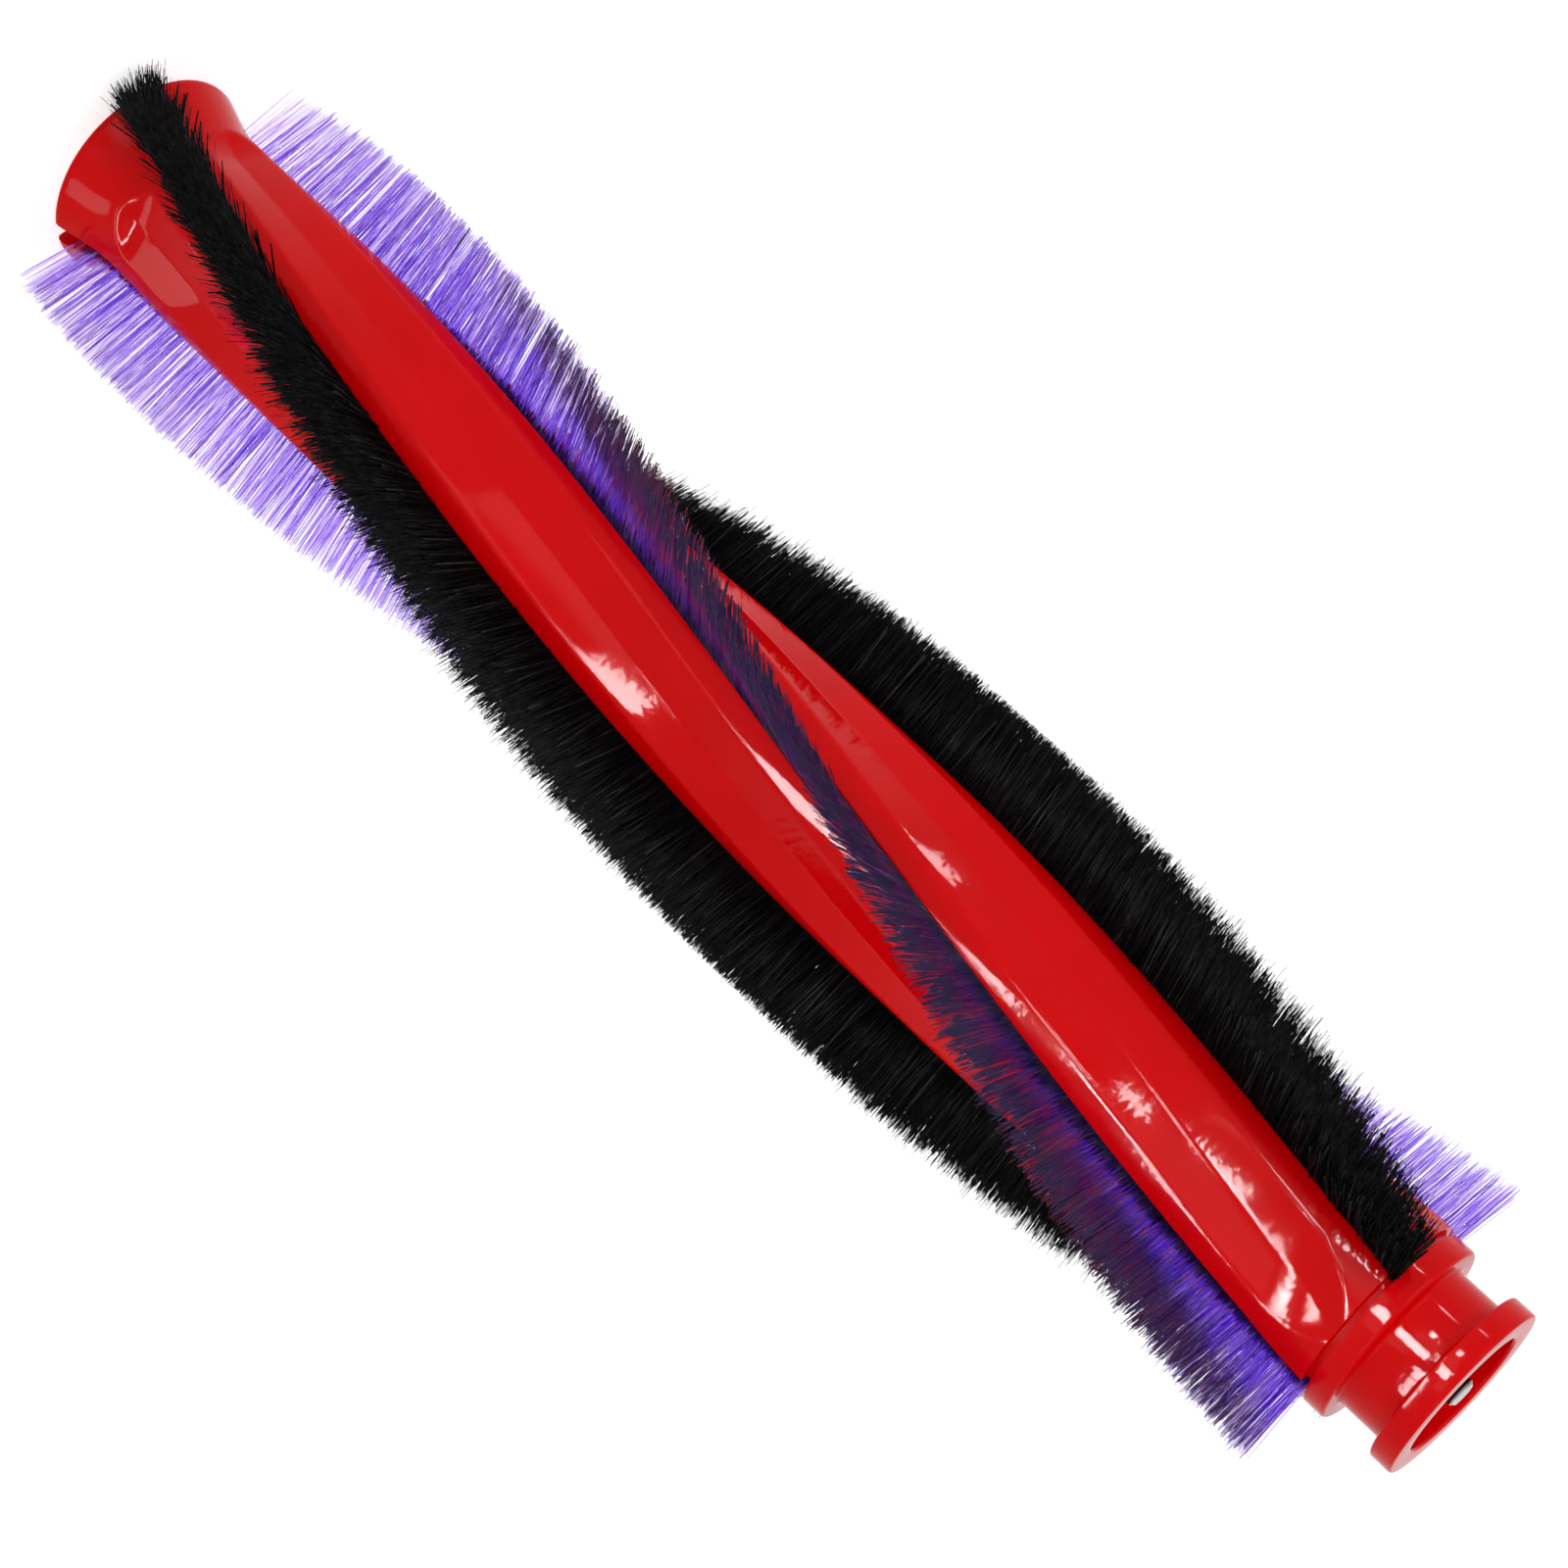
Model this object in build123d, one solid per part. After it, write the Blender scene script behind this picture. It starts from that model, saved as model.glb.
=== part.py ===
# Roller brush of a vacuum cleaner head: a moulded bar with four helical bristle strips.
# Millimetres and degrees. The bar stands on its collar rim at z = 0, with the spool end on top.
import os
from math import cos, degrees, radians, sin, sqrt

from build123d import *

# Bar
bar_length = 225.0
bar_radius = 12.3
helix_lead = 425.0
strip_count = 4
first_strip_angle = 155.0

# Flutes between the strips: shallow V channels that run out at both ends
flute_half_angle = 24.4
flute_floor_radius = 10.5
flute_floor_margin = 0.2
flute_runout_radius = 11.0
flute_collar_margin = 1.3
flute_flange_margin = 1.0

# Collar at the driven end
collar_radius = 14.4
collar_rim_height = 0.9
collar_rim_bevel = 0.4
flare_length = 7.2
flare_blend_radius = 18.0

# Spool at the axle end
relief_radius = 11.3
relief_width = 1.8
relief_bevel = 0.5
flange_radius = 12.0
flange_thickness = 2.8
flange_bevel = 0.5
neck_radius = 9.5
neck_length = 6.0
neck_bevel = 0.5
rim_radius = 11.4
rim_thickness = 3.0
rim_bevel = 0.35

# Hollows along the axis
cup_radius = 8.0
cup_depth = 10.0
cup_chamfer = 0.4
web_thickness = 12.0
core_bore_radius = 6.0
socket_radius = 7.5
socket_depth = 20.0
socket_chamfer = 0.6
lug_count = 6
lug_height = 1.4
lug_width = 2.4

# Axle pin with a thicker shank pressed into the web
pin_radius = 1.8
pin_shank_radius = 2.0
pin_seat_depth = 11.0
pin_chamfer = 0.4
pin_hole_clearance = 0.02

# T-slots that hold the strips
slot_mouth_width = 2.65
slot_lip_thickness = 1.4
slot_cavity_width = 5.2
slot_cavity_height = 1.7
strip_clearance = 0.15

# Bristle strips
nylon_tip_radius = 22.8
nylon_tip_width = 3.4
nylon_start = 4.0
carbon_tip_radius = 22.5
carbon_tip_width = 6.4
carbon_start = 2.0

# How far cutters reach past the faces that they cross
overrun = 1.0

# Heights and angles that follow from the sizes above
rim_face = bar_length - rim_thickness
flange_top = rim_face - neck_length
flange_face = flange_top - flange_thickness
land_end = flange_face - relief_width
cup_floor = bar_length - cup_depth
web_face = cup_floor - web_thickness
slot_roof = bar_radius - slot_lip_thickness
slot_floor = slot_roof - slot_cavity_height
strip_end = flange_face - strip_clearance
strip_spacing = 360.0 / strip_count
twist_per_mm = 360.0 / helix_lead


def at_strip(section, position):
    """Cross-section turned from the X axis to a strip position, as it stands at z = 0."""
    return section.rotate(Axis.Z, first_strip_angle + position * strip_spacing)


def twisted(section, low, high):
    """Prism of a z = 0 cross-section between two heights, twisted along the helix."""
    rise = high - low
    start = section.rotate(Axis.Z, twist_per_mm * low).moved(Location((0, 0, low)))
    return Solid.extrude_linear_with_rotation(start.face(), (0, 0, low), (0, 0, rise), twist_per_mm * rise)


def turned(profile):
    """Solid of revolution about Z of a profile drawn as radius along X and height along Y."""
    return revolve(Plane.XZ * profile, Axis.Z)


def corners_at(profile, points):
    """Corners of a flat profile nearest to the given points."""
    return [profile.vertices().sort_by_distance((x, y, 0))[0] for x, y in points]


def bevelled(profile, size, *points):
    """Profile with its corners at the given points bevelled."""
    return chamfer(corners_at(profile, points), size)


def bar_profile():
    """Half profile of the moulding: flared collar, bar, relief, flange, neck and end rim."""
    profile = make_face(
        Polyline(
            (0, 0),
            (collar_radius, 0),
            (collar_radius, collar_rim_height),
            (bar_radius, flare_length),
            (bar_radius, land_end),
            (relief_radius, land_end),
            (relief_radius, flange_face),
            (flange_radius, flange_face),
            (flange_radius, flange_top),
            (neck_radius, flange_top),
            (neck_radius, rim_face),
            (rim_radius, rim_face),
            (rim_radius, bar_length),
            (0, bar_length),
            close=True,
        )
    )
    profile = fillet(corners_at(profile, [(bar_radius, flare_length)]), flare_blend_radius)
    profile = bevelled(profile, collar_rim_bevel, (collar_radius, 0))
    profile = bevelled(profile, relief_bevel, (relief_radius, flange_face))
    profile = bevelled(profile, flange_bevel, (flange_radius, flange_top))
    profile = bevelled(profile, neck_bevel, (neck_radius, flange_top), (neck_radius, rim_face))
    return bevelled(profile, rim_bevel, (rim_radius, rim_face), (rim_radius, bar_length))


def flute_section():
    """V channel about the X axis whose facets meet the bar's surface at the lip edges and run on past it."""
    past = 1.2
    facet_x = past * (bar_radius * cos(radians(flute_half_angle)) - flute_floor_radius)
    facet_y = past * bar_radius * sin(radians(flute_half_angle))
    inner = flute_floor_radius + facet_x
    outer = bar_radius + 2.0 * overrun
    return make_face(
        Polyline(
            (flute_floor_radius, 0),
            (inner, facet_y),
            (outer, facet_y),
            (outer, -facet_y),
            (inner, -facet_y),
            close=True,
        )
    )


def runout_form():
    """Turned form that the flutes stay clear of: a core whose ends sweep up through the bar's surface."""
    core = flute_floor_radius - flute_floor_margin
    outer = bar_radius + 3.0 * overrun

    def run(radius):
        rise = radius - core
        return sqrt(2.0 * flute_runout_radius * rise - rise * rise)

    low_floor = flare_length + flute_collar_margin + run(bar_radius)
    high_floor = land_end - flute_flange_margin - run(bar_radius)
    low_out = low_floor - run(outer)
    high_out = high_floor + run(outer)
    profile = make_face(
        [
            Polyline((outer, low_out), (outer, 0), (0, 0), (0, bar_length), (outer, bar_length), (outer, high_out)),
            TangentArc((core, high_floor), (outer, high_out), tangent=(0, 1)),
            Line((core, high_floor), (core, low_floor)),
            TangentArc((core, low_floor), (outer, low_out), tangent=(0, -1)),
        ]
    )
    return turned(profile)


def ring(inner, outer):
    """Tube about Z that bounds what curves with the bar, longer than the bar at both ends."""
    wall = Circle(outer) - Circle(inner)
    return Pos(0, 0, -overrun) * extrude(wall, bar_length + 2.0 * overrun)


def band(width, inner, outer):
    """Rectangle along the X axis between two distances from the bar's axis."""
    return Pos((inner + outer) / 2.0, 0) * Rectangle(outer - inner, width)


def slot_cavity(position):
    """Wide part of a T-slot, curved with the bar."""
    section = band(slot_cavity_width, slot_floor - overrun, bar_radius)
    return twisted(at_strip(section, position), -overrun, flange_face) & ring(slot_floor, slot_roof)


def slot_mouth(position):
    """Narrow part of a T-slot, from its cavity out through the bar and the collar."""
    section = band(slot_mouth_width, (slot_floor + slot_roof) / 2.0, collar_radius + overrun)
    return twisted(at_strip(section, position), -overrun, flange_face)


def drive_socket():
    """Lugged hollow in the collar end, with a lead-in chamfer at its mouth."""
    section = Circle(socket_radius).face()
    lug_depth = socket_radius
    for index in range(lug_count):
        lug = Pos(socket_radius - lug_height + lug_depth / 2.0, 0) * Rectangle(lug_depth, lug_width)
        section = section - lug.rotate(Axis.Z, index * 360.0 / lug_count)
    hollow = extrude(section, socket_depth)
    mouth = Pos(0, 0, socket_chamfer / 2.0) * Cone(socket_radius + socket_chamfer, socket_radius, socket_chamfer)
    return hollow + mouth


def axle_cup():
    """Round cup in the spool end, with a chamfered mouth and the pin's hole in its floor."""
    cup = Pos(0, 0, cup_floor) * extrude(Circle(cup_radius), cup_depth)
    mouth_low = bar_length - cup_chamfer / 2.0
    mouth = Pos(0, 0, mouth_low) * Cone(cup_radius, cup_radius + cup_chamfer, cup_chamfer)
    hole_low = cup_floor - pin_seat_depth
    hole = Pos(0, 0, hole_low) * extrude(Circle(pin_shank_radius + pin_hole_clearance), pin_seat_depth)
    return cup + mouth + hole


def brush_bar():
    """One red moulding: fluted bar with its strip slots, collar, spool and axial hollows."""
    bar = turned(bar_profile())
    keep_clear = runout_form()
    for position in range(strip_count):
        flute = twisted(at_strip(flute_section(), position + 0.5), 0, bar_length) - keep_clear
        bar = bar - flute
    for position in range(strip_count):
        bar = bar - (slot_mouth(position) + slot_cavity(position))
    core_bore = extrude(Circle(core_bore_radius), web_face)
    return bar - drive_socket() - core_bore - axle_cup()


def axle_pin():
    """Ground pin whose free end is level with the end rim, on a shank sunk in the web."""
    shank = Pos(0, 0, cup_floor - pin_seat_depth) * extrude(Circle(pin_shank_radius), pin_seat_depth)
    journal = Pos(0, 0, cup_floor) * extrude(Circle(pin_radius), cup_depth)
    pin = shank + journal
    rims = pin.edges().filter_by(GeomType.CIRCLE).sort_by(Axis.Z)
    return chamfer([rims[0], rims[-1]], pin_chamfer)


def strip_backing(position, start):
    """Carrier strip that slides along a slot's cavity."""
    section = band(slot_cavity_width - 2.0 * strip_clearance, slot_floor - overrun, bar_radius)
    room = ring(slot_floor + strip_clearance, slot_roof - strip_clearance)
    return twisted(at_strip(section, position), start, strip_end) & room


def strip_pile(position, start, tip_radius, tip_width):
    """Bristle pile that stands on its carrier, fills the slot's mouth and spreads to its tips."""
    root = slot_mouth_width / 2.0 - strip_clearance
    spread = collar_radius + strip_clearance
    slope = (tip_width / 2.0 - root) / (tip_radius - spread)
    outside = tip_radius + overrun
    tip = root + slope * (outside - spread)
    section = make_face(
        Polyline(
            (slot_floor, -root),
            (spread, -root),
            (outside, -tip),
            (outside, tip),
            (spread, root),
            (slot_floor, root),
            close=True,
        )
    )
    return twisted(at_strip(section, position), start, strip_end) & ring(slot_roof, tip_radius)


def strips(name, first_position, start, tip_radius, tip_width):
    """The two strips of one kind, on opposite sides of the bar, as named nodes."""
    made = {}
    for number, position in enumerate(range(first_position, strip_count, 2), start=1):
        made[f"{name}_backing_{number}"] = strip_backing(position, start)
        made[f"{name}_bristles_{number}"] = strip_pile(position, start, tip_radius, tip_width)
    return made


nodes = {"brush_bar": brush_bar(), "axle_pin": axle_pin()}
nodes.update(strips("nylon", 0, nylon_start, nylon_tip_radius, nylon_tip_width))
nodes.update(strips("carbon", 1, carbon_start, carbon_tip_radius, carbon_tip_width))

os.makedirs("parts", exist_ok=True)
for name, solid in nodes.items():
    export_step(solid, f"parts/{name}.step")
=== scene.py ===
# Look of the roller brush: a red moulded bar with violet nylon and black carbon-fibre bristle strips.
# Metres and radians in the part's own frame: the roller's axis is Z and its collar rim is at z = 0.
import math

import bmesh
import bpy
from mathutils import Matrix, Vector


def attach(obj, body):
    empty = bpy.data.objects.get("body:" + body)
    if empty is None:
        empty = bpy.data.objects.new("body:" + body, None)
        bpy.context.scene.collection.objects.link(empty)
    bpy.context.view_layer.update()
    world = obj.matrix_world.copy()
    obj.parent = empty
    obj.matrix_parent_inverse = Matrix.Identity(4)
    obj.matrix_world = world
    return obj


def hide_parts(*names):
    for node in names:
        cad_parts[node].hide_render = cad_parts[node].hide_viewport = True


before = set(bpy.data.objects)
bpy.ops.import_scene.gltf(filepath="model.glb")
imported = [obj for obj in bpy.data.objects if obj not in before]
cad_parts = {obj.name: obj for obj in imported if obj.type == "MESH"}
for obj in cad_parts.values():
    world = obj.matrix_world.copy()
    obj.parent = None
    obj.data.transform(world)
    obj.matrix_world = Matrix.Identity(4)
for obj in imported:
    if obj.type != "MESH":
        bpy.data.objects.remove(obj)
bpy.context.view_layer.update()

MM = 0.001

# Bar
bar_length = 225.0 * MM
bar_radius = 12.3 * MM
helix_lead = 425.0 * MM
bar_rows = 260
row_bunching = 0.8
runout_edge_round = 0.9 * MM
turned_steps = 96
strip_count = 4
first_strip_angle = math.radians(155.0)
twist_per_metre = 2.0 * math.pi / helix_lead

# Flutes between the strips
flute_half_angle = math.radians(24.4)
flute_floor_radius = 10.5 * MM
flute_low_runout = 6.0 * MM
flute_high_runout = 28.0 * MM
flute_low_floor = 13.0 * MM
flute_high_floor = 202.6 * MM
flute_crease_round = 3.0 * MM
lip_edge_round = 1.5 * MM
lip_corner_round = 0.2 * MM
facet_shares = (0.15, 0.25, 0.35, 0.45, 0.55, 0.65, 0.75, 0.85)
arc_steps = 7
sharp_angle = math.radians(38.0)

# Collar and spool
collar_radius = 14.4 * MM
collar_rim_height = 0.9 * MM
collar_rim_bevel = 0.4 * MM
flare_length = 7.2 * MM
flare_blend = 1.4 * MM
land_end = 212.4 * MM
relief_radius = 11.3 * MM
flange_face = 213.2 * MM
flange_top = 216.0 * MM
flange_radius = 12.0 * MM
neck_radius = 9.5 * MM
rim_face = 222.0 * MM
rim_radius = 11.4 * MM
flange_round = 0.5 * MM
neck_round = 0.4 * MM
rim_round = 0.35 * MM
cup_radius = 8.0 * MM
cup_floor = 215.0 * MM
cup_floor_round = 0.5 * MM
pin_hole_radius = 2.02 * MM
pin_hole_round = 0.15 * MM
pin_hole_floor = 204.0 * MM
web_face = 203.0 * MM
core_bore_radius = 6.0 * MM
socket_radius = 7.5 * MM
socket_chamfer = 0.6 * MM
socket_depth = 20.0 * MM
lug_count = 6
lug_height = 1.4 * MM
lug_width = 2.4 * MM

# T-slots
slot_mouth_width = 2.65 * MM
slot_cavity_width = 5.2 * MM
slot_floor = 9.2 * MM

# Bristle strips
slot_roof = 10.9 * MM
strip_root_width = 2.3 * MM
strip_end = 213.0 * MM
nylon_start = 4.0 * MM
nylon_tip_radius = 22.8 * MM
nylon_tip_width = 3.4 * MM
carbon_start = 2.0 * MM
carbon_tip_radius = 22.5 * MM
carbon_tip_width = 6.4 * MM
strand_taper = 0.75
strip_end_sharpness = 24.0

# Camera, as fitted to the photograph
camera_place = (0.0, -0.3827, 0.2665)
camera_lens = 80.79
camera_sensor = 36.0
camera_heading = math.radians(-0.239)
camera_drop = math.radians(20.75)
camera_roll = math.radians(132.92)

# Finishes, in linear colour
moulding_red = (0.72, 0.0006, 0.002, 1.0)
moulding_red_deep = (0.66, 0.0005, 0.002, 1.0)
nylon_pale = (0.84, 0.70, 0.96, 1.0)
nylon_deep = (0.38, 0.20, 0.86, 1.0)
nylon_tip = (0.72, 0.62, 0.96, 1.0)
fibre_black = (0.0035, 0.0035, 0.004, 1.0)
fibre_grey = (0.03, 0.03, 0.033, 1.0)
pin_grey = (0.66, 0.65, 0.63, 1.0)
pin_grey_deep = (0.12, 0.12, 0.12, 1.0)
backing_grey = (0.03, 0.03, 0.04, 1.0)
backing_deep = (0.02, 0.02, 0.026, 1.0)
studio_white = (1.0, 1.0, 1.0, 1.0)
floor_grey = (0.8, 0.8, 0.8, 1.0)

# Studio, in metres
ambient_level = 0.65
background_level = 1.0
floor_glow = 0.6
floor_reach = 14.0


def put(tree, kind, values=None, **settings):
    """New node in a tree, with its settings and with sockets or plain values on its inputs."""
    made = tree.nodes.new(kind)
    for name, value in settings.items():
        setattr(made, name, value)
    for key, value in (values or {}).items():
        if isinstance(value, bpy.types.NodeSocket):
            tree.links.new(value, made.inputs[key])
        else:
            made.inputs[key].default_value = value
    return made


def calc(tree, operation, *values):
    """Result of a math node."""
    return put(tree, "ShaderNodeMath", dict(enumerate(values)), operation=operation).outputs[0]


def vector_calc(tree, operation, *values):
    """Result of a vector math node."""
    return put(tree, "ShaderNodeVectorMath", dict(enumerate(values)), operation=operation).outputs[0]


def scaled(tree, vector, factor):
    """Vector times a number."""
    node = put(tree, "ShaderNodeVectorMath", {"Vector": vector, "Scale": factor}, operation="SCALE")
    return node.outputs[0]


def xyz(tree, x, y, z):
    """Vector from three numbers."""
    return put(tree, "ShaderNodeCombineXYZ", {"X": x, "Y": y, "Z": z}).outputs[0]


def geometry_tree(name, sizes):
    """Geometry node tree with named inputs, and its input node."""
    tree = bpy.data.node_groups.new(name, "GeometryNodeTree")
    tree.interface.new_socket("Geometry", in_out="OUTPUT", socket_type="NodeSocketGeometry")
    for size_name, socket_type in sizes.items():
        tree.interface.new_socket(size_name, in_out="INPUT", socket_type=socket_type)
    return tree, tree.nodes.new("NodeGroupInput")


def grown(name, tree, values, base=None):
    """Object whose plain mesh is what a geometry tree gives for named values and a base mesh."""
    piece = bpy.data.objects.new(name, base or bpy.data.meshes.new(name))
    bpy.context.scene.collection.objects.link(piece)
    modifier = piece.modifiers.new(name, "NODES")
    modifier.node_group = tree
    for item in tree.interface.items_tree:
        if item.in_out == "INPUT" and item.name in values:
            modifier[item.identifier] = values[item.name]
    bpy.context.view_layer.update()
    evaluated = piece.evaluated_get(bpy.context.evaluated_depsgraph_get())
    mesh = bpy.data.meshes.new_from_object(evaluated)
    piece.modifiers.remove(modifier)
    empty = piece.data
    piece.data = mesh
    bpy.data.meshes.remove(empty)
    mesh.name = name
    return piece


def rounded_outline(corners):
    """Points of an open outline of (x, y, radius) corners, with an arc at each corner that has a radius."""
    points = []
    for place, (x, y, radius) in enumerate(corners):
        corner = Vector((x, y))
        if radius == 0.0 or place in (0, len(corners) - 1):
            points.append(corner)
            continue
        back = (Vector(corners[place - 1][:2]) - corner).normalized()
        ahead = (Vector(corners[place + 1][:2]) - corner).normalized()
        half = back.angle(ahead) / 2.0
        middle = corner + (back + ahead).normalized() * (radius / math.sin(half))
        start = corner + back * (radius / math.tan(half)) - middle
        end = corner + ahead * (radius / math.tan(half)) - middle
        sweep = start.angle_signed(end)
        for step in range(arc_steps + 1):
            turn = -sweep * step / arc_steps
            points.append(middle + Matrix.Rotation(turn, 2) @ start)
    return points


def polar(radius, angle):
    """Flat point at a radius and an angle."""
    return radius * math.cos(angle), radius * math.sin(angle)


def bar_section():
    """Closed outline of the bar with its slots and flutes, as points and a mark for those on the skin."""
    pitch = 2.0 * math.pi / strip_count
    mouth = slot_mouth_width / 2.0
    cavity = slot_cavity_width / 2.0
    lip_start = math.asin(mouth / bar_radius)
    lip_end = pitch / 2.0 - flute_half_angle
    wall = []
    for share in (0.0, 0.35, 0.7, 1.0):
        wall.append((math.sqrt(slot_floor**2 - (cavity * share) ** 2), cavity * share, 0.0))
    wall.append((math.sqrt(slot_roof**2 - cavity**2), cavity, 0.0))
    wall.append((math.sqrt(slot_roof**2 - (cavity * 0.75) ** 2), cavity * 0.75, 0.0))
    wall.append((math.sqrt(slot_roof**2 - mouth**2), mouth, 0.0))
    lip = [(*polar(bar_radius, lip_start), lip_corner_round)]
    for share in (0.2, 0.4, 0.6):
        lip.append((*polar(bar_radius, lip_start + (lip_end - lip_start) * share), 0.0))
    lip.append((*polar(bar_radius, lip_end), lip_edge_round))
    crease = (*polar(flute_floor_radius, pitch / 2.0), flute_crease_round)
    edge = Vector(polar(bar_radius, lip_end))
    facet = [(*edge.lerp(Vector(crease[:2]), share), 0.0) for share in facet_shares]
    facet_back = (*polar(bar_radius, pitch / 2.0 + flute_half_angle), 0.0)
    outline = rounded_outline(wall + lip + facet + [crease, facet_back])[:-1]
    to_crease = outline[: len(outline) - (arc_steps + 1) // 2]
    mirror_line = Vector(polar(1.0, pitch / 2.0))
    mirrored = [2.0 * point.dot(mirror_line) * mirror_line - point for point in reversed(to_crease)]
    quarter = to_crease + mirrored[:-1]
    points = []
    skin = []
    for position in range(strip_count):
        turn = Matrix.Rotation(position * pitch, 2)
        for place, point in enumerate(quarter):
            points.append(turn @ point)
            skin.append(1.0 if len(wall) <= place < len(quarter) - len(wall) + 1 else 0.0)
    return points, skin


def bar_tree():
    """Bar skin: a section swept up a rail and twisted, with flutes that run out and a flared collar."""
    number = "NodeSocketFloat"
    tree, given = geometry_tree(
        "fluted bar",
        {
            "Geometry": "NodeSocketGeometry",
            "Rows": "NodeSocketInt",
            "Angle": number,
            "Twist": number,
            "Length": number,
            "Bar Radius": number,
            "Low Run-out": number,
            "High Run-out": number,
            "Low Floor": number,
            "High Floor": number,
            "Land End": number,
            "Relief Radius": number,
            "Collar Radius": number,
            "Rim Bevel": number,
            "Flare Length": number,
            "Flare Slope": number,
            "Flare Blend": number,
            "Finish": "NodeSocketMaterial",
        },
    )
    size = given.outputs

    # Rail with its rows closer together at both ends
    rail_ends = {"Start": (0.0, 0.0, 0.0), "End": (0.0, 0.0, 1.0)}
    rail = put(tree, "GeometryNodeCurvePrimitiveLine", rail_ends).outputs[0]
    rail_rows = {"Curve": rail, "Count": size["Rows"]}
    rail = put(tree, "GeometryNodeResampleCurve", rail_rows, mode="COUNT").outputs[0]
    share = put(tree, "GeometryNodeSplineParameter").outputs["Factor"]
    wave = calc(tree, "SINE", calc(tree, "MULTIPLY", share, 2.0 * math.pi))
    eased = calc(tree, "SUBTRACT", share, calc(tree, "MULTIPLY", wave, row_bunching / (2.0 * math.pi)))
    level = calc(tree, "MULTIPLY", eased, size["Length"])
    rail_point = xyz(tree, 0.0, 0.0, level)
    rail = put(tree, "GeometryNodeSetPosition", {"Geometry": rail, "Position": rail_point}).outputs[0]
    section = put(tree, "GeometryNodeMeshToCurve", {0: size["Geometry"]}).outputs[0]
    swept = put(tree, "GeometryNodeCurveToMesh", {"Curve": rail, "Profile Curve": section}).outputs[0]

    # Each row turned to its place on the helix, the skin moved in or out
    place = put(tree, "ShaderNodeSeparateXYZ", {0: put(tree, "GeometryNodeInputPosition").outputs[0]})
    height = place.outputs["Z"]
    radius = calc(
        tree,
        "SQRT",
        calc(
            tree,
            "ADD",
            calc(tree, "MULTIPLY", place.outputs["X"], place.outputs["X"]),
            calc(tree, "MULTIPLY", place.outputs["Y"], place.outputs["Y"]),
        ),
    )

    def lift(run_out, distance):
        into = calc(tree, "MAXIMUM", distance, 0.0)
        square = calc(tree, "MULTIPLY", run_out, run_out)
        square = calc(tree, "SUBTRACT", square, calc(tree, "MULTIPLY", into, into))
        return calc(tree, "SUBTRACT", run_out, calc(tree, "SQRT", calc(tree, "MAXIMUM", square, 0.0)))

    low_lift = lift(size["Low Run-out"], calc(tree, "SUBTRACT", size["Low Floor"], height))
    high_lift = lift(size["High Run-out"], calc(tree, "SUBTRACT", height, size["High Floor"]))
    lifted = calc(tree, "ADD", radius, calc(tree, "ADD", low_lift, high_lift))
    round_limit = calc(tree, "ADD", size["Bar Radius"], runout_edge_round / 4.0)
    skin_radius = calc(tree, "SMOOTH_MIN", lifted, round_limit, runout_edge_round)
    skin_radius = calc(tree, "MINIMUM", skin_radius, size["Bar Radius"])
    flare = calc(tree, "MULTIPLY", calc(tree, "SUBTRACT", size["Flare Length"], height), size["Flare Slope"])
    flare = calc(tree, "SMOOTH_MAX", flare, 0.0, size["Flare Blend"])
    skin_radius = calc(tree, "MINIMUM", calc(tree, "ADD", skin_radius, flare), size["Collar Radius"])
    bevel = calc(tree, "MAXIMUM", calc(tree, "SUBTRACT", size["Rim Bevel"], height), 0.0)
    skin_radius = calc(tree, "SUBTRACT", skin_radius, bevel)
    past_land = calc(tree, "GREATER_THAN", height, size["Land End"])
    step = calc(tree, "MAXIMUM", calc(tree, "SUBTRACT", skin_radius, size["Relief Radius"]), 0.0)
    skin_radius = calc(tree, "SUBTRACT", skin_radius, calc(tree, "MULTIPLY", step, past_land))
    on_skin = put(tree, "GeometryNodeInputNamedAttribute", {"Name": "skin"}, data_type="FLOAT").outputs[0]
    grow = calc(tree, "DIVIDE", calc(tree, "SUBTRACT", skin_radius, radius), radius)
    grow = calc(tree, "ADD", 1.0, calc(tree, "MULTIPLY", grow, on_skin))
    turn = calc(tree, "ADD", size["Angle"], calc(tree, "MULTIPLY", size["Twist"], height))
    flat = xyz(tree, place.outputs["X"], place.outputs["Y"], 0.0)
    turned = put(tree, "ShaderNodeVectorRotate", {"Vector": flat, "Angle": turn}, rotation_type="Z_AXIS")
    final = vector_calc(tree, "ADD", scaled(tree, turned.outputs[0], grow), xyz(tree, 0.0, 0.0, height))
    swept = put(tree, "GeometryNodeSetPosition", {"Geometry": swept, "Position": final}).outputs[0]
    swept = put(tree, "GeometryNodeSetMaterial", {"Geometry": swept, "Material": size["Finish"]}).outputs[0]
    put(tree, "NodeGroupOutput", {0: swept})
    return tree


def ring(mesh, points, height):
    """Closed ring of new vertices at a height."""
    return [mesh.verts.new((point[0], point[1], height)) for point in points]


def circle(mesh, radius, height):
    """Round ring of new vertices."""
    points = [polar(radius, 2.0 * math.pi * step / turned_steps) for step in range(turned_steps)]
    return ring(mesh, points, height)


def walled(mesh, first, second):
    """Faces between two rings of equal length."""
    count = len(first)
    for place in range(count):
        after = (place + 1) % count
        mesh.faces.new((first[place], first[after], second[after], second[place]))


def covered(mesh, *rings):
    """Flat faces that fill what lies between rings in one plane."""
    edges = []
    for loop in rings:
        for place, vertex in enumerate(loop):
            neighbour = loop[(place + 1) % len(loop)]
            edges.append(mesh.edges.get((vertex, neighbour)) or mesh.edges.new((vertex, neighbour)))
    bmesh.ops.triangle_fill(mesh, use_beauty=True, edges=edges)


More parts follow.
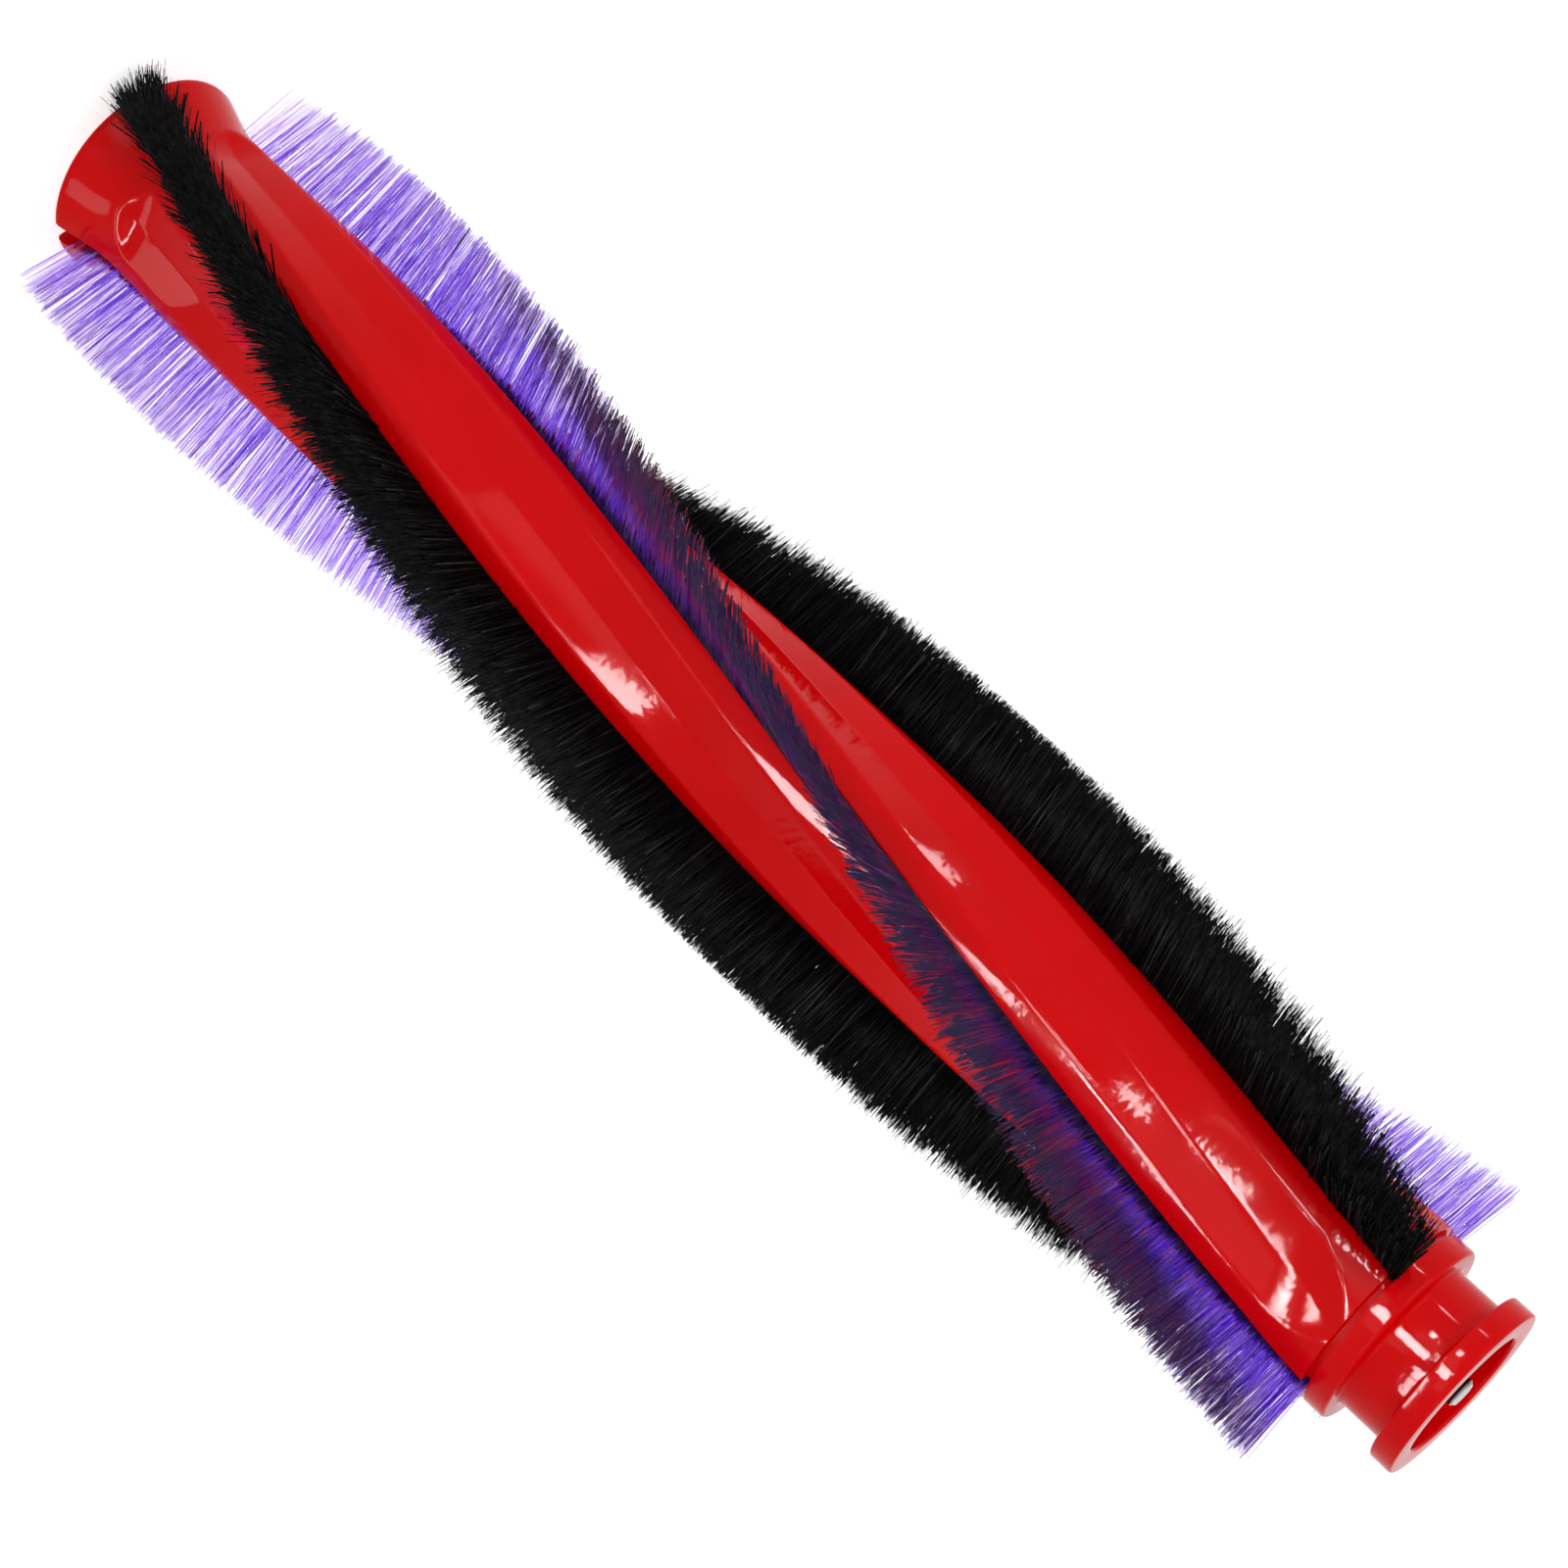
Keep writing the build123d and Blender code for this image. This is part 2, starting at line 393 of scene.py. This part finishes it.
def socket_outline():
    """Points of the drive socket's lugged outline."""
    half = math.asin(lug_width / 2.0 / socket_radius)
    top = socket_radius - lug_height
    points = []
    for index in range(lug_count):
        middle = index * 2.0 * math.pi / lug_count
        for side in (-1.0, 1.0):
            foot = Vector(polar(socket_radius, side * half))
            head = Vector((top, foot.y))
            pair = (foot, head) if side < 0.0 else (head, foot)
            points.extend(Matrix.Rotation(middle, 2) @ point for point in pair)
        gap = 2.0 * math.pi / lug_count - 2.0 * half
        wall_steps = 10
        for step in range(1, wall_steps):
            points.append(Vector(polar(socket_radius, middle + half + gap * step / wall_steps)))
    return points


def spool_profile():
    """Half profile from the flange's foot over the spool, into the cup and down the pin's hole."""
    return rounded_outline(
        [
            (flange_radius, flange_face, 0.0),
            (flange_radius, flange_top, flange_round),
            (neck_radius, flange_top, flange_round),
            (neck_radius, rim_face, neck_round),
            (rim_radius, rim_face, rim_round),
            (rim_radius, bar_length, rim_round),
            (cup_radius, bar_length, rim_round),
            (cup_radius, cup_floor, cup_floor_round),
            (pin_hole_radius, cup_floor, pin_hole_round),
            (pin_hole_radius, pin_hole_floor, 0.0),
        ]
    )


def make_bar(material):
    """The red moulding as one mesh: twisted skin, spool, cup, collar face, socket and core bore."""
    points, skin = bar_section()
    base = bpy.data.meshes.new("bar section")
    edges = [(place, (place + 1) % len(points)) for place in range(len(points))]
    base.from_pydata([(*point, 0.0) for point in points], edges, [])
    base.attributes.new("skin", "FLOAT", "POINT").data.foreach_set("value", skin)
    values = {
        "Rows": bar_rows,
        "Angle": first_strip_angle,
        "Twist": twist_per_metre,
        "Length": flange_face,
        "Bar Radius": bar_radius,
        "Low Run-out": flute_low_runout,
        "High Run-out": flute_high_runout,
        "Low Floor": flute_low_floor,
        "High Floor": flute_high_floor,
        "Land End": land_end,
        "Relief Radius": relief_radius,
        "Collar Radius": collar_radius,
        "Rim Bevel": collar_rim_bevel,
        "Flare Length": flare_length,
        "Flare Slope": (collar_radius - bar_radius) / (flare_length - collar_rim_height),
        "Flare Blend": flare_blend,
        "Finish": material,
    }
    piece = grown("bar_moulding", bar_tree(), values, base)
    mesh = bmesh.new()
    mesh.from_mesh(piece.data)
    mesh.verts.ensure_lookup_table()
    count = len(points)
    foot_ring = mesh.verts[:count]
    flange_ring = mesh.verts[-count:]

    rings = [circle(mesh, point[0], point[1]) for point in spool_profile()]
    for lower, upper in zip(rings, rings[1:]):
        walled(mesh, lower, upper)
    mesh.faces.new(rings[-1])
    covered(mesh, flange_ring, rings[0])

    mouth = circle(mesh, socket_radius + socket_chamfer, 0.0)
    throat = circle(mesh, socket_radius, socket_chamfer)
    walled(mesh, mouth, throat)
    covered(mesh, foot_ring, mouth)
    outline = socket_outline()
    lugs_low = ring(mesh, outline, socket_chamfer)
    lugs_high = ring(mesh, outline, socket_depth)
    walled(mesh, lugs_low, lugs_high)
    covered(mesh, throat, lugs_low)
    bore_low = circle(mesh, core_bore_radius, socket_depth)
    bore_high = circle(mesh, core_bore_radius, web_face)
    covered(mesh, lugs_high, bore_low)
    walled(mesh, bore_low, bore_high)
    mesh.faces.new(bore_high)

    bmesh.ops.recalc_face_normals(mesh, faces=mesh.faces)
    for face in mesh.faces:
        face.smooth = True
    mesh.to_mesh(piece.data)
    mesh.free()
    piece.data.set_sharp_from_angle(angle=sharp_angle)
    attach(piece, "root")
    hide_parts("brush_bar")
    return piece


def bristle_tree():
    """Strip of straight bristles that stand along a helix and fan out to their tips."""
    number = "NodeSocketFloat"
    tree, given = geometry_tree(
        "bristle strip",
        {
            "Bristles": "NodeSocketInt",
            "Seed": "NodeSocketInt",
            "Crowding": number,
            "Angle": number,
            "Twist": number,
            "Start": number,
            "End": number,
            "Root Radius": number,
            "Root Width": number,
            "Tip Radius": number,
            "Tip Width": number,
            "Thickness": number,
            "Core Share": number,
            "Core Thickness": number,
            "Core Drop": number,
            "Ragged Tips": number,
            "Stray": number,
            "Side Stray": number,
            "Clump": number,
            "Clump Spacing": number,
            "End Splay": number,
            "End Drop": number,
            "Finish": "NodeSocketMaterial",
        },
    )
    size = given.outputs
    index = put(tree, "GeometryNodeInputIndex").outputs[0]

    def draw(offset, low, high):
        seed = calc(tree, "ADD", size["Seed"], float(offset))
        values = {2: low, 3: high, 7: index, 8: seed}
        return put(tree, "FunctionNodeRandomValue", values, data_type="FLOAT").outputs[1]

    even = calc(tree, "DIVIDE", calc(tree, "ADD", index, draw(1, 0.0, 1.0)), size["Bristles"])
    along = calc(tree, "POWER", even, size["Crowding"])
    run = calc(tree, "SUBTRACT", size["End"], size["Start"])
    height = calc(tree, "ADD", size["Start"], calc(tree, "MULTIPLY", along, run))
    across = draw(2, -0.5, 0.5)

    angle = calc(tree, "ADD", size["Angle"], calc(tree, "MULTIPLY", size["Twist"], height))
    cosine = calc(tree, "COSINE", angle)
    sine = calc(tree, "SINE", angle)
    outward = xyz(tree, cosine, sine, 0.0)
    sideways = xyz(tree, calc(tree, "MULTIPLY", sine, -1.0), cosine, 0.0)

    def placed(radius, side, level):
        flat = vector_calc(tree, "ADD", scaled(tree, outward, radius), scaled(tree, sideways, side))
        return vector_calc(tree, "ADD", flat, xyz(tree, 0.0, 0.0, level))

    root = placed(size["Root Radius"], calc(tree, "MULTIPLY", across, size["Root Width"]), height)

    # Neighbouring bristles lean together into clumps
    ripple = calc(tree, "DIVIDE", height, size["Clump Spacing"])
    clump_place = xyz(tree, ripple, calc(tree, "MULTIPLY", across, 1.5), size["Seed"])
    pattern = put(
        tree,
        "ShaderNodeTexNoise",
        {"Vector": clump_place, "Scale": 1.0, "Detail": 2.0},
        noise_dimensions="3D",
    )
    lean = calc(tree, "MULTIPLY", calc(tree, "SUBTRACT", pattern.outputs[0], 0.5), size["Clump"])
    from_middle = calc(tree, "SUBTRACT", calc(tree, "MULTIPLY", along, 2.0), 1.0)
    end_share = calc(tree, "POWER", calc(tree, "ABSOLUTE", from_middle), strip_end_sharpness)
    end_side = calc(tree, "SIGN", calc(tree, "SUBTRACT", along, 0.5))
    splay = calc(tree, "MULTIPLY", calc(tree, "MULTIPLY", end_share, end_side), size["End Splay"])
    wander = calc(tree, "MULTIPLY", draw(3, -1.0, 1.0), size["Stray"])
    tip_height = calc(tree, "ADD", calc(tree, "ADD", height, splay), calc(tree, "ADD", lean, wander))
    drift = draw(4, -1.0, 1.0)
    drift = calc(tree, "MULTIPLY", drift, calc(tree, "MULTIPLY", drift, drift))
    tip_side = calc(tree, "MULTIPLY", across, size["Tip Width"])
    tip_side = calc(tree, "ADD", tip_side, calc(tree, "MULTIPLY", drift, size["Side Stray"]))
    in_core = calc(tree, "LESS_THAN", draw(9, 0.0, 1.0), size["Core Share"])
    ragged = calc(tree, "MULTIPLY", draw(5, -1.0, 0.3), size["Ragged Tips"])
    tip_radius = calc(tree, "ADD", size["Tip Radius"], ragged)
    tip_radius = calc(tree, "SUBTRACT", tip_radius, calc(tree, "MULTIPLY", in_core, size["Core Drop"]))
    tip_radius = calc(tree, "SUBTRACT", tip_radius, calc(tree, "MULTIPLY", end_share, size["End Drop"]))
    tip = placed(tip_radius, tip_side, tip_height)

    reach = vector_calc(tree, "SUBTRACT", tip, root)
    length = put(tree, "ShaderNodeVectorMath", {0: reach}, operation="LENGTH").outputs["Value"]
    spin = xyz(tree, 0.0, 0.0, draw(6, 0.0, 2.0 * math.pi))
    spin = put(tree, "FunctionNodeEulerToRotation", {0: spin}).outputs[0]
    stand = put(tree, "FunctionNodeAlignRotationToVector", {"Rotation": spin, "Vector": reach}, axis="Z")
    core_excess = calc(tree, "SUBTRACT", size["Core Thickness"], size["Thickness"])
    thicker = calc(tree, "MULTIPLY", in_core, core_excess)
    thick = calc(tree, "ADD", size["Thickness"], thicker)
    thin = calc(tree, "MULTIPLY", calc(tree, "MULTIPLY", thick, 0.5), draw(7, 0.8, 1.2))

    points = put(tree, "GeometryNodePoints", {"Count": size["Bristles"], "Position": root}).outputs[0]
    points = put(
        tree,
        "GeometryNodeStoreNamedAttribute",
        {"Geometry": points, "Name": "shade", "Value": draw(8, 0.0, 1.0)},
        data_type="FLOAT",
        domain="POINT",
    ).outputs[0]
    cone = put(
        tree,
        "GeometryNodeMeshCone",
        {
            "Vertices": 3,
            "Side Segments": 1,
            "Fill Segments": 1,
            "Radius Top": strand_taper,
            "Radius Bottom": 1.0,
            "Depth": 1.0,
        },
        fill_type="NGON",
    )
    strand = put(
        tree,
        "GeometryNodeSetShadeSmooth",
        {0: cone.outputs["Mesh"], "Selection": cone.outputs["Side"], "Shade Smooth": True},
    ).outputs[0]
    strand_position = put(tree, "GeometryNodeInputPosition").outputs[0]
    strand_level = put(tree, "ShaderNodeSeparateXYZ", {0: strand_position}).outputs["Z"]
    strand = put(
        tree,
        "GeometryNodeStoreNamedAttribute",
        {"Geometry": strand, "Name": "level", "Value": strand_level},
        data_type="FLOAT",
        domain="POINT",
    ).outputs[0]
    grove = put(
        tree,
        "GeometryNodeInstanceOnPoints",
        {
            "Points": points,
            "Instance": strand,
            "Rotation": stand.outputs[0],
            "Scale": xyz(tree, thin, thin, length),
        },
    ).outputs[0]
    grove = put(tree, "GeometryNodeRealizeInstances", {0: grove}).outputs[0]
    grove = put(tree, "GeometryNodeSetMaterial", {"Geometry": grove, "Material": size["Finish"]}).outputs[0]
    put(tree, "NodeGroupOutput", {0: grove})
    return tree


def shader_group(name, inputs, outputs):
    """Shader node group with named number inputs and typed outputs, with its input and output nodes."""
    group = bpy.data.node_groups.new(name, "ShaderNodeTree")
    for socket_name in inputs:
        group.interface.new_socket(socket_name, in_out="INPUT", socket_type="NodeSocketFloat")
    for socket_name in outputs:
        group.interface.new_socket(socket_name, in_out="OUTPUT", socket_type="NodeSocketFloat")
    return group, group.nodes.new("NodeGroupInput"), group.nodes.new("NodeGroupOutput")


def moulded_skin():
    """Group: fine orange-peel height and soft cloudy tone of a moulded plastic surface."""
    group, given, made = shader_group("moulded skin", ("Peel Scale", "Cloud Scale"), ("Height", "Cloud"))
    place = put(group, "ShaderNodeTexCoord").outputs["Object"]
    peel_scale = given.outputs["Peel Scale"]
    peel = put(group, "ShaderNodeTexNoise", {"Vector": place, "Scale": peel_scale, "Detail": 1.0})
    cloud_scale = given.outputs["Cloud Scale"]
    cloud = put(group, "ShaderNodeTexNoise", {"Vector": place, "Scale": cloud_scale, "Detail": 3.0})
    group.links.new(peel.outputs[0], made.inputs["Height"])
    group.links.new(cloud.outputs[0], made.inputs["Cloud"])
    return group


def strand_tone():
    """Group: tone that differs from bristle to bristle and along each one, and a mask of the tips."""
    group, given, made = shader_group("strand tone", ("Mottle Scale", "Mottle"), ("Tone", "Tip"))
    shade = put(group, "ShaderNodeAttribute", attribute_name="shade").outputs["Fac"]
    level = put(group, "ShaderNodeAttribute", attribute_name="level").outputs["Fac"]
    place = put(group, "ShaderNodeTexCoord").outputs["Object"]
    mottle_scale = given.outputs["Mottle Scale"]
    mottle = put(group, "ShaderNodeTexNoise", {"Vector": place, "Scale": mottle_scale, "Detail": 2.0})
    swing = calc(group, "MULTIPLY", calc(group, "SUBTRACT", mottle.outputs[0], 0.5), given.outputs["Mottle"])
    tone = put(group, "ShaderNodeClamp", {0: calc(group, "ADD", shade, swing)}).outputs[0]
    group.links.new(tone, made.inputs["Tone"])
    group.links.new(calc(group, "POWER", level, 6.0), made.inputs["Tip"])
    return group


def finish(name, roughness, specular):
    """Material with a principled shader, its tree and that shader."""
    material = bpy.data.materials.new(name)
    material.use_nodes = True
    tree = material.node_tree
    shader = tree.nodes["Principled BSDF"]
    shader.inputs["Roughness"].default_value = roughness
    shader.inputs["Specular IOR Level"].default_value = specular
    return material, tree, shader


def placed_group(tree, group, **values):
    """Shader group placed in a material with its own values, whose names have _ for a space."""
    node = tree.nodes.new("ShaderNodeGroup")
    node.node_tree = group
    for name, value in values.items():
        node.inputs[name.replace("_", " ")].default_value = value
    return node.outputs


def blended(tree, factor, first, second):
    """Colour between two colours."""
    node = put(tree, "ShaderNodeMix", {"Factor": factor}, data_type="RGBA")
    for key, color in ((6, first), (7, second)):
        if isinstance(color, bpy.types.NodeSocket):
            tree.links.new(color, node.inputs[key])
        else:
            node.inputs[key].default_value = color
    return node.outputs[2]


def ranged(tree, value, low, high):
    """Number that goes from low to high as a value goes from 0.3 to 0.7."""
    limits = {"Value": value, "From Min": 0.3, "From Max": 0.7, "To Min": low, "To Max": high}
    return put(tree, "ShaderNodeMapRange", limits).outputs[0]


def red_moulding(skin):
    """Glossy red moulded plastic with a faint orange peel."""
    material, tree, shader = finish("red moulding", 0.07, 0.06)
    look = placed_group(tree, skin, Peel_Scale=1100.0, Cloud_Scale=60.0)
    color = blended(tree, ranged(tree, look["Cloud"], 0.0, 1.0), moulding_red_deep, moulding_red)
    tree.links.new(color, shader.inputs["Base Color"])
    tree.links.new(ranged(tree, look["Cloud"], 0.05, 0.09), shader.inputs["Roughness"])
    bump = put(tree, "ShaderNodeBump", {"Height": look["Height"], "Strength": 1.0, "Distance": 0.014 * MM})
    tree.links.new(bump.outputs[0], shader.inputs["Normal"])
    return material


def violet_nylon(tone):
    """Translucent violet nylon filament, paler and deeper from bristle to bristle."""
    material, tree, shader = finish("violet nylon", 0.08, 0.5)
    look = placed_group(tree, tone, Mottle_Scale=300.0, Mottle=0.5)
    color = blended(tree, look["Tone"], nylon_deep, nylon_pale)
    color = blended(tree, look["Tip"], color, nylon_tip)
    tree.links.new(color, shader.inputs["Base Color"])
    shader.inputs["Transmission Weight"].default_value = 0.98
    shader.inputs["IOR"].default_value = 1.06
    return material


def black_fibre(tone):
    """Matt black carbon fibre with a few greyer filaments."""
    material, tree, shader = finish("black fibre", 0.5, 0.02)
    look = placed_group(tree, tone, Mottle_Scale=500.0, Mottle=0.6)
    greyer = calc(tree, "POWER", look["Tone"], 6.0)
    tree.links.new(blended(tree, greyer, fibre_black, fibre_grey), shader.inputs["Base Color"])
    return material


def pin_steel():
    """Ground steel of the axle pin, with fine rings left by the grinding."""
    material, tree, shader = finish("pin steel", 0.2, 0.5)
    shader.inputs["Metallic"].default_value = 1.0
    place = put(tree, "ShaderNodeTexCoord").outputs["Object"]
    grinding = {"Vector": place, "Scale": 350.0, "Distortion": 2.0}
    rings = put(tree, "ShaderNodeTexWave", grinding, wave_type="RINGS", rings_direction="Z")
    tree.links.new(blended(tree, rings.outputs["Fac"], pin_grey_deep, pin_grey), shader.inputs["Base Color"])
    tree.links.new(ranged(tree, rings.outputs["Fac"], 0.14, 0.3), shader.inputs["Roughness"])
    return material


def strip_backing(skin):
    """Matt dark plastic of the strip carriers."""
    material, tree, shader = finish("strip backing", 0.55, 0.4)
    look = placed_group(tree, skin, Peel_Scale=900.0, Cloud_Scale=200.0)
    tree.links.new(blended(tree, look["Cloud"], backing_deep, backing_grey), shader.inputs["Base Color"])
    bump = put(tree, "ShaderNodeBump", {"Height": look["Height"], "Strength": 1.0, "Distance": 0.02 * MM})
    tree.links.new(bump.outputs[0], shader.inputs["Normal"])
    return material


def white_for_looks(tree, ambient, shown):
    """Strength that is one level for light and another for what the camera, mirrors and glass see."""
    path = put(tree, "ShaderNodeLightPath")
    seen = calc(tree, "MAXIMUM", path.outputs["Is Camera Ray"], path.outputs["Is Glossy Ray"])
    seen = calc(tree, "MAXIMUM", seen, path.outputs["Is Transmission Ray"])
    return calc(tree, "ADD", calc(tree, "MULTIPLY", seen, shown - ambient), ambient)


def make_world():
    """Even white surroundings."""
    world = bpy.data.worlds.new("studio")
    bpy.context.scene.world = world
    world.use_nodes = True
    tree = world.node_tree
    background = tree.nodes["Background"]
    background.inputs["Color"].default_value = studio_white
    tree.links.new(white_for_looks(tree, ambient_level, background_level), background.inputs["Strength"])


def make_floor():
    """Wide pale floor that shows white and keeps a soft shadow."""
    mesh = bpy.data.meshes.new("floor")
    corners = [(x * floor_reach, y * floor_reach, 0.0) for x, y in ((-1, -1), (1, -1), (1, 1), (-1, 1))]
    mesh.from_pydata(corners, [], [(0, 1, 2, 3)])
    floor = bpy.data.objects.new("floor", mesh)
    bpy.context.scene.collection.objects.link(floor)
    material = bpy.data.materials.new("floor white")
    material.use_nodes = True
    tree = material.node_tree
    shader = tree.nodes["Principled BSDF"]
    shader.inputs["Base Color"].default_value = floor_grey
    shader.inputs["Roughness"].default_value = 1.0
    shader.inputs["Specular IOR Level"].default_value = 0.0
    shader.inputs["Emission Color"].default_value = studio_white
    tree.links.new(white_for_looks(tree, 0.0, floor_glow), shader.inputs["Emission Strength"])
    mesh.materials.append(material)


def make_lamp(name, azimuth, distance, height, width, tall, radiance, target_height=None):
    """Rectangular soft light at an azimuth from -Y towards -X, a distance from the axis and a height."""
    around = math.radians(azimuth)
    place = Vector((-math.sin(around) * distance, -math.cos(around) * distance, height))
    target = Vector((0.0, 0.0, height if target_height is None else target_height))
    data = bpy.data.lights.new(name, "AREA")
    data.shape = "RECTANGLE"
    data.size = width
    data.size_y = tall
    data.energy = math.pi * width * tall * radiance
    lamp = bpy.data.objects.new(name, data)
    bpy.context.scene.collection.objects.link(lamp)
    facing = (place - target).to_track_quat("Z", "Y").to_matrix().to_4x4()
    lamp.matrix_world = Matrix.Translation(place) @ facing
    return lamp


def make_card(name, azimuth, distance, height, width, tall, radiance, tilt=0.0):
    """Bright card that only shows as a highlight in glossy surfaces, tilted in its own plane."""
    lamp = make_lamp(name, azimuth, distance, height, width, tall, radiance)
    lamp.matrix_world = lamp.matrix_world @ Matrix.Rotation(math.radians(tilt), 4, "Z")
    lamp.visible_camera = False
    lamp.visible_diffuse = False
    lamp.visible_transmission = False


def make_camera():
    """Camera at the photograph's place, rolled as the photograph is."""
    data = bpy.data.cameras.new("camera")
    data.lens = camera_lens
    data.sensor_width = camera_sensor
    camera = bpy.data.objects.new("camera", data)
    bpy.context.scene.collection.objects.link(camera)
    heading = Matrix.Rotation(camera_heading, 4, "Z")
    tilt = Matrix.Rotation(math.pi / 2.0 - camera_drop, 4, "X")
    roll = Matrix.Rotation(camera_roll, 4, "Z")
    camera.matrix_world = Matrix.Translation(camera_place) @ heading @ tilt @ roll
    bpy.context.scene.camera = camera


def dress(node_name, material):
    """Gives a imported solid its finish."""
    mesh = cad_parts[node_name].data
    mesh.materials.clear()
    mesh.materials.append(material)


def make_strips(tone):
    """The four bristle strips, in place of their solid piles."""
    tree = bristle_tree()
    kinds = {
        "nylon": {
            "Bristles": (4900, 3400),
            "Crowding": (0.72, 1.0),
            "Start": nylon_start,
            "Tip Radius": nylon_tip_radius,
            "Tip Width": nylon_tip_width,
            "Thickness": 0.17 * MM,
            "Core Share": 0.0,
            "Ragged Tips": 0.9 * MM,
            "Stray": 0.45 * MM,
            "Side Stray": 0.8 * MM,
            "Clump": 2.6 * MM,
            "Clump Spacing": 2.4 * MM,
            "End Splay": 0.8 * MM,
            "End Drop": 0.5 * MM,
            "Finish": violet_nylon(tone),
        },
        "carbon": {
            "Bristles": (24000, 24000),
            "Crowding": (1.0, 1.0),
            "Start": carbon_start,
            "Tip Radius": carbon_tip_radius,
            "Tip Width": carbon_tip_width,
            "Thickness": 0.1 * MM,
            "Core Share": 0.2,
            "Core Thickness": 0.32 * MM,
            "Core Drop": 2.0 * MM,
            "Ragged Tips": 1.1 * MM,
            "Stray": 0.8 * MM,
            "Side Stray": 2.2 * MM,
            "Clump": 2.6 * MM,
            "Clump Spacing": 2.6 * MM,
            "End Splay": 0.7 * MM,
            "End Drop": 2.8 * MM,
            "Finish": black_fibre(tone),
        },
    }
    for position in range(strip_count):
        kind = "nylon" if position % 2 == 0 else "carbon"
        number = position // 2 + 1
        values = dict(kinds[kind])
        for name in ("Bristles", "Crowding"):
            values[name] = values[name][number - 1]
        values["Seed"] = 11 * position + 3
        values["Angle"] = first_strip_angle + position * 2.0 * math.pi / strip_count
        values["Twist"] = twist_per_metre
        values["End"] = strip_end
        values["Root Radius"] = slot_roof
        values["Root Width"] = strip_root_width
        piece = grown(f"{kind}_strip_{number}", tree, values)
        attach(piece, "root")
        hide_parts(f"{kind}_bristles_{number}")


bpy.context.scene.view_settings.view_transform = "Standard"
make_world()
make_floor()
make_camera()
make_lamp("key", 50.0, 1.2, 0.75, 0.8, 0.8, 2.0, 0.11)
make_lamp("fill", -25.0, 1.2, 0.6, 0.8, 0.8, 1.4, 0.11)
make_card("lip card", -20.0, 0.5, 0.09, 0.13, 0.07, 120.0)
make_card("side lip card", -42.0, 0.5, 0.105, 0.22, 0.04, 100.0)
make_card("low lip card", 12.0, 0.5, 0.085, 0.1, 0.05, 60.0)
make_card("right lip card", -14.0, 0.5, 0.078, 0.1, 0.025, 100.0, 9.0)
make_card("scoop card", -18.0, 0.2, 0.076, 0.05, 0.07, 120.0)
make_card("neck card", 3.8, 0.1, 0.2095, 0.019, 0.013, 150.0)
make_card("neck edge card", 65.5, 0.5, 0.157, 0.012, 0.04, 90.0)
make_card("facet card", 30.0, 1.2, 0.035, 0.16, 0.034, 150.0)
make_card("side facet card", 86.0, 0.5, 0.045, 0.07, 0.02, 50.0, 9.0)
make_card("low card", -28.0, 0.2, 0.031, 0.035, 0.008, 60.0, 15.0)
make_card("collar card", -53.0, 0.033, 0.004, 0.014, 0.007, 7.0, 45.0)
make_card("low panel", 4.5, 0.16, 0.02, 0.15, 0.03, 3.0, 15.0)
make_card("front panel", 5.0, 0.52, 0.16, 0.4, 0.06, 2.5, 8.8)

skin = moulded_skin()
tone = strand_tone()
make_bar(red_moulding(skin))
dress("axle_pin", pin_steel())
backing = strip_backing(skin)
for kind in ("nylon", "carbon"):
    for number in (1, 2):
        dress(f"{kind}_backing_{number}", backing)
make_strips(tone)
